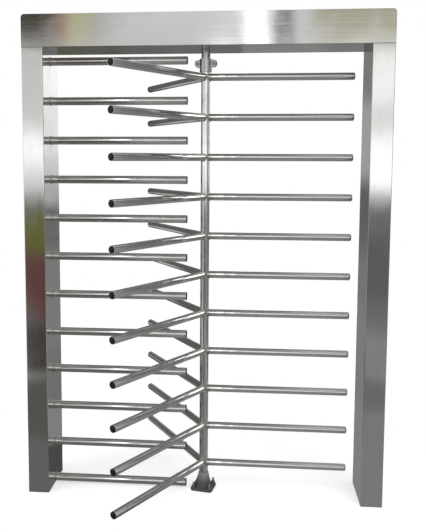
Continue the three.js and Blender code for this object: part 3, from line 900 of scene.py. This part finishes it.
def clampLug(side, end, middle):
    near, far = clamp["halfSplit"], clamp["halfSplit"] + clamp["lugThickness"]
    half, corner = clamp["lugHeight"] / 2, clamp["lugCorner"]
    outline = [(clamp["lugRoot"], -half)]
    for start, centre in ((-0.5, corner - half), (0.0, half - corner)):
        outline += arc(clamp["lugReach"] - corner, centre, corner, start, start + 0.5, 8)
    outline.append((clamp["lugRoot"], half))
    return loft([[(end * x, side * y, middle + z) for x, z in outline] for y in (near, far)])


def clampBolt():
    face = clamp["halfSplit"] + clamp["lugThickness"]
    radius, tail = clamp["boltRadius"], -face - clamp["tail"]
    near = face + clamp["gap"]
    far = near + clamp["washerHeight"]
    seat = far + clamp["gap"]
    flats, height = clamp["head"]
    head = shifted(hexHead(flats, 0.0, height), z=seat)
    shank = turned([(radius - 0.2, tail + 1.0), (radius - 0.1, face + 2.0)], 24)
    end = thread(radius, tail, tail + 9.0, clamp["pitch"])
    flats, height = clamp["nut"]
    nut = shifted(hexHead(flats, 0.0, height, True), z=-seat - height)
    return joined(head, shank, end, nut, washer(*clamp["washer"], near, far),
                  washer(*clamp["washer"], -far, -near))


def buildClamp():
    low, high = boxOf("clamp_front_half")
    middle = (low.z + high.z) / 2 + clamp["lugRise"]
    turn = Matrix.Rotation(math.radians(clamp["turn"]), 4, "Z")
    for side, name in ((-1, "front"), (1, "back")):
        jaw = makeMesh(f"clamp_{name}_jaw", clampHalf(side, low.z, high.z))
        for end in (-1, 1):
            jaw = cutOut(jaw, clampLug(side, end, middle), "UNION")
        jaw.transform(turn)
        makePiece(f"clamp_{name}_jaw", jaw, "clamp", "rotor", [f"clamp_{name}_half"],
                  bevel=clamp["edge"], flatKept=True)
    bolt = makeMesh("clamp_bolt", moved(clampBolt(), alongY.inverted()), boltSharp)
    for side, name in ((-1, "left"), (1, "right")):
        at = turn @ standing(side * clamp["boltOffset"], 0, middle)
        makePiece("clamp_bolt_" + name, bolt, "fastener", "rotor", at=at)


buildClamp()
print("turnstile: column, shaft and clamp ready")

# foot bearing: a flared casting on a square flange, held by four anchor studs
foot = {"flange": 106.0, "corner": 14.0, "thickness": 14.0, "flare": 44.0, "neck": 24.0,
        "hollow": 0.35, "flareSteps": 14, "turn": -12.0, "height": 84.0, "bore": 15.4,
        "boreFloor": 16.0, "boltSpacing": 78.0, "studRadius": 5.0, "stud": (2.0, 38.0),
        "pitch": 1.5, "washer": (10.5, 5.4), "washerHeight": 1.95, "gap": 0.05,
        "nut": (17.0, 8.4)}


def footShape():
    def square(inset, height):
        size = foot["flange"] - 2 * inset
        return cushionRing(size, size, foot["corner"] - inset, height, 6, 8)

    thick, flare, neck = foot["thickness"], foot["flare"], foot["neck"]
    height, bore, steps = foot["height"], foot["bore"], foot["flareSteps"]
    flared = [(flare + 3.0, thick)]
    for step in range(1, steps):
        share = step / steps
        angle = math.pi / 2 * share
        inward = share + (math.sin(angle) - share) * foot["hollow"]
        upward = share + (1 - math.cos(angle) - share) * foot["hollow"]
        flared.append((flare - (flare - neck) * inward, thick + (height - thick) * upward))
    flared += [(neck, height - 1.5), (neck - 1.5, height), (bore + 1.0, height),
              (bore, height - 1.0), (bore, foot["boreFloor"])]
    rings = [square(0.0, 0.0), square(0.0, thick - 3.0), square(0.9, thick - 0.9),
             square(3.0, thick)]
    return loft(rings + [roundedTo(rings[0], radius, z) for radius, z in flared])


def anchorStud():
    near = foot["thickness"] + foot["gap"]
    far = near + foot["washerHeight"]
    flats, height = foot["nut"]
    nut = shifted(hexHead(flats, 0.0, height, True), z=far + foot["gap"])
    stud = thread(foot["studRadius"], *foot["stud"], foot["pitch"])
    return joined(washer(*foot["washer"], near, far), nut, stud)


def buildFoot():
    turn = Matrix.Rotation(math.radians(foot["turn"]), 4, "Z")
    makePiece("foot_casting", moved(footShape(), turn), "footCasting", "frame",
              ["foot_bearing_housing"])
    stud = makeMesh("foot_stud", anchorStud(), boltSharp)
    half = foot["boltSpacing"] / 2
    for number, (x, y) in enumerate(((-1, -1), (1, -1), (1, 1), (-1, 1))):
        makePiece(numbered("foot_stud", number), stud, "fastener", "frame",
                  at=turn @ standing(x * half, y * half, 0))


buildFoot()
print("turnstile: foot ready")

# the mechanism in the header keeps its solids and takes its finishes
mechanism = {
    "mechanism_plate": ("zinc", 0.8), "head_bearing_housing": ("casting", 1.2),
    "solenoid_pair": ("enamel", 0.6), "lock_wheel": ("zinc", 0.5),
    "lock_bolt_a": ("shaft", 0.5), "lock_bolt_b": ("shaft", 0.5),
}
for node, (finishName, bevel) in mechanism.items():
    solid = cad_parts[node]
    solid.data.materials.clear()
    solid.data.materials.append(finishes[finishName][0])
    bevelEdges(solid, bevel)
print("turnstile: mechanism ready")

# floor: pale, just large enough to carry the shadow, and white where it is lit
floorLook = {"halfWidth": 1.35, "front": -0.66, "back": 0.90, "fade": 0.48, "pale": 0.90,
             "lift": 0.45}


def buildFloor():
    look = floorLook
    half = look["halfWidth"]
    fade, front, back = look["fade"], look["front"], look["back"]
    mesh = bpy.data.meshes.new("studio_floor")
    corners = [(-half, front, 0), (half, front, 0), (half, back, 0), (-half, back, 0)]
    mesh.from_pydata(corners, [], [(0, 1, 2, 3)])
    finish, tree, shader = newFinish("studio_floor")
    plug(tree, shader, {
        "Base Color": grey(look["pale"]), "Roughness": 0.8, "Specular IOR Level": 0.1})
    glow = addNode(tree, "ShaderNodeEmission", {
        "Color": grey(1.0), "Strength": times(tree, seenByCamera(tree), look["lift"])})
    lit = addNode(tree, "ShaderNodeAddShader", {0: shader.outputs[0], 1: glow.outputs[0]})
    # the edges fade away, so no line shows where the floor ends
    across, along = calc(tree, "ABSOLUTE", coordinate(tree, 0)), coordinate(tree, 1)
    solid = times(tree, span(tree, across, half - fade, half, 1.0, 0.0, True),
                  span(tree, along, front, front + fade, smooth=True))
    solid = times(tree, solid, span(tree, along, back - fade, back, 1.0, 0.0, True))
    clear = addNode(tree, "ShaderNodeBsdfTransparent").outputs[0]
    both = addNode(tree, "ShaderNodeMixShader", {0: solid, 1: clear, 2: lit.outputs[0]})
    plug(tree, tree.nodes["Material Output"], {"Surface": both.outputs[0]})
    mesh.materials.append(finish)
    addObject("studio_floor", mesh)


buildFloor()

# reflector tent: a grey room that only the metal mirrors, with a dark floor just above
# the studio floor. A patch is a range of azimuth and one of elevation, in degrees seen
# from the tent's centre (0 azimuth is in front of the turnstile, + to its right), then
# its softness, and its colour as a grey's level and its blue, or as red, green and blue
tent = {"radius": 30.0, "height": 1.6, "floor": 0.0005, "waver": 3.0,
        "waverScale": 9.0, "swayScale": 7.0, "swayShift": (5.0, 3.0, 1.0)}
tentPatches = [
    (-180, 180, -90, 90, 1, 0.14, 0.135),
    (-360, 360, 77, 180, 4, 0.4, 0.395),
    (30, 150, 4, 72, 8, 0.6, 0.6),
    (-150, -30, 4, 72, 8, 0.6, 0.6),
    (36, 156, -48, 4, 4, 0.42, 0.415),
    (-156, -30, -40, 4, 2.5, 0.46, 0.455),
    (88, 158, -42, 50, 4, 0.17, 0.165),
    (110.8, 121.5, -2, 21, 0.9, 2.3, 2.28),
    (112.5, 128, 19, 36, 1.5, 1.8, 1.79),
    (-172, -101, -36, 40, 4, 0.12, 0.115),
    (130, 158, -28, -9, 2.5, 0.52, 0.51),
    (-156, -134, -24, -9, 2.5, 0.5, 0.49),
    (-105, 20, -3.2, 9.2, 1.2, 0.92, 0.91),
    (-60, -8, 2.6, 9.2, 1, 0.76, 0.75),
    (-12, 28, 9.2, 36, 2.5, 0.78, 0.78),
    (-8, 14, 23, 33, 1, 1.15, 1.14),
    (-17, -8, 16, 42, 1.5, 0.4, 0.395),
    (-3.2, 0.3, 20, 40, 0.5, 3, 3),
    (-1, 30, 42, 74, 3, 0.22, 0.215),
    (20, 75, -4, 30, 6, 0.4, 0.39),
    (-60, -13, -1, 2.4, 1, 1.35, 1.34),
    (6, 40, -1, 2.4, 1, 1.35, 1.34),
    (-3.2, -1.5, 0, 8.6, 0.3, 2.2, 2.2),
    (4, 40, 4.6, 8.9, 0.6, 1.2, 1.19),
    (4, 40, -2.8, 1.5, 0.9, 1.45, 1.44),
    (-24, -12.3, 9.2, 15, 0.2, 0.57, 0.56, 0.31),
    (-24, -14.9, 9.2, 15, 0.2, 0.34, 0.06, 0.05),
    (-24, -15.8, 9, 15, 0.2, 0.016, 0.018, 0),
    (-0.6, 1.3, 3, 30, 0.3, 2.4, 2.4),
    (2, 3.7, 8.8, 30, 0.15, 0, 0),
    (5.6, 20, 9.2, 15, 0.3, 0.44, 0.43, 0.3),
    (48, 100, -30, -3, 3, 0.2, 0.195),
    (-105, -60, -20, -4, 3, 0.28, 0.275),
    (-26, -8, -9.5, -4.7, 1.2, 0.145, 0.15, 0.03),
    (-26, -8, -21, -9.5, 1.8, 0.14, 0.055, 0.05),
    (-35, -8, -33, -21, 2, 0.064, 0.058, 0.052),
    (-200, -2, -90, -33, 3, 0.115, 0.105),
    (-95, -50, -90, -50, 3, 0.155, 0.15),
    (-128, -95, -90, -55, 3, 0.08, 0.08),
    (-200, -128, -90, -50, 3, 0.26, 0.255),
    (-6, 33, -9, -5, 1.6, 0.17, 0.165),
    (-6, 33, -16, -7, 1.4, 0.135, 0.13),
    (-6, 33, -21, -16, 2, 0.18, 0.175),
    (-6, 42, -34, -21, 3, 0.29, 0.285),
    (-6, 50, -42, -34, 2.5, 0.19, 0.185),
    (-2, 200, -90, -42, 3, 0.25, 0.245),
    (158, 200, -4, 16, 1, 0.5, 0.49),
    (158, 200, -1.6, 16, 1, 0.72, 0.71),
    (158, 200, 0.6, 16, 1.2, 0.98, 0.97),
    (158, 200, 5, 16, 1, 1.2, 1.19),
    (-200, -160, 5, 16, 1.5, 0.22, 0.215),
    (-200, -160, -1.7, 5, 1.4, 0.39, 0.38),
    (158, 200, -90, -9, 3, 0.235, 0.23),
    (-200, -160, -60, -9, 3, 0.2, 0.195),
    (168, 182, -7.4, -5, 0.5, 0.27, 0.265),
    (167.4, 172.6, -7.4, -5, 0.5, 0.19, 0.185),
    (-168.5, -160, -7.6, -5.2, 0.6, 0.09, 0.088, 0.06),
]


def between(tree, value, low, high, soft):
    rise = span(tree, value, low - soft, low + soft, smooth=True)
    return times(tree, rise, span(tree, value, high - soft, high + soft, 1.0, 0.0, True))


def buildTent():
    mesh = bpy.data.meshes.new("reflector_tent")
    work = bmesh.new()
    bmesh.ops.create_uvsphere(work, u_segments=48, v_segments=24, radius=tent["radius"])
    for vert in work.verts:
        vert.co.z = max(vert.co.z, tent["floor"] - tent["height"])
    work.to_mesh(mesh)
    work.free()
    finish, tree, shader = newFinish("reflector_tent")
    tree.nodes.remove(shader)
    spot = addNode(tree, "ShaderNodeTexCoord").outputs["Object"]
    aim = addNode(tree, "ShaderNodeVectorMath", {0: spot}, operation="NORMALIZE").outputs[0]
    beside = addNode(tree, "ShaderNodeVectorMath", {0: aim, 1: tent["swayShift"]}).outputs[0]
    axes = addNode(tree, "ShaderNodeSeparateXYZ", {0: aim}).outputs
    azimuth = calc(tree, "ARCTAN2", axes[0], times(tree, axes[1], -1.0))
    waver = calc(tree, "SUBTRACT", mottle(tree, tent["waverScale"], vector=aim), 0.5)
    sway = calc(tree, "SUBTRACT", mottle(tree, tent["swayScale"], vector=beside), 0.5)
    azimuth = plus(tree, calc(tree, "DEGREES", azimuth), times(tree, waver, tent["waver"] * 2))
    elevation = calc(tree, "DEGREES", calc(tree, "ARCSINE", axes[2]))
    elevation = plus(tree, elevation, times(tree, sway, tent["waver"]))
    colour = None
    for left, right, low, high, soft, *tone in tentPatches:
        tone = (tone[0], *tone[-2:], 1.0)
        if colour is None:
            colour = addNode(tree, "ShaderNodeRGB").outputs[0]
            colour.default_value = tone
            continue
        inside = between(tree, elevation, low, high, soft)
        if right - left < 360:
            inside = times(tree, inside, between(tree, azimuth, left, right, soft))
        colour = tint(tree, inside, colour, tone)
    glow = addNode(tree, "ShaderNodeEmission", {"Color": colour, "Strength": 1.0})
    plug(tree, tree.nodes["Material Output"], {"Surface": glow.outputs[0]})
    mesh.materials.append(finish)
    walls = addObject("reflector_tent", mesh)
    walls.location.z = tent["height"]
    for ray in ("camera", "diffuse", "transmission", "volume_scatter", "shadow"):
        setattr(walls, "visible_" + ray, False)


buildTent()

# white surroundings and two soft lamps, each with its place and power
light = {"ambient": 0.62, "lampSize": 3.0, "aim": (0, 0, 1.0),
         "key": ((2.6, -3.6, 4.2), 90.0), "fill": ((-3.4, -2.4, 3.2), 45.0)}


def buildLight():
    world = bpy.data.worlds.new("studio")
    world.use_nodes = True
    scene.world = world
    tree = world.node_tree
    plug(tree, tree.nodes["Background"], {
        "Color": tint(tree, seenByCamera(tree), grey(light["ambient"]), grey(1.0))})
    for name in ("key", "fill"):
        spot, power = light[name]
        lamp = bpy.data.lights.new(name, "AREA")
        lamp.energy = power
        lamp.size = light["lampSize"]
        holder = addObject(name, lamp)
        holder.location = spot
        aim = Vector(light["aim"]) - Vector(spot)
        holder.rotation_euler = aim.to_track_quat("-Z", "Y").to_euler()
        holder.visible_glossy = False


buildLight()

# camera where the photograph was taken from
cameraView = {"spot": (0.2065, -3.5207, 1.6191), "yaw": -0.0933, "pitch": -0.0977,
              "roll": 0.0026, "lens": 50.0, "sensor": 36.0, "shift": (0.0632, -0.0646)}


def buildCamera():
    data = bpy.data.cameras.new("camera")
    data.lens, data.sensor_width = cameraView["lens"], cameraView["sensor"]
    data.shift_x, data.shift_y = cameraView["shift"]
    camera = addObject("camera", data)
    yaw, pitch, roll = cameraView["yaw"], cameraView["pitch"], cameraView["roll"]
    turn = (Matrix.Rotation(-yaw, 4, "Z") @ Matrix.Rotation(math.pi / 2 + pitch, 4, "X")
            @ Matrix.Rotation(roll, 4, "Z"))
    camera.matrix_world = Matrix.Translation(cameraView["spot"]) @ turn
    scene.camera = camera


buildCamera()
print("turnstile: studio ready")
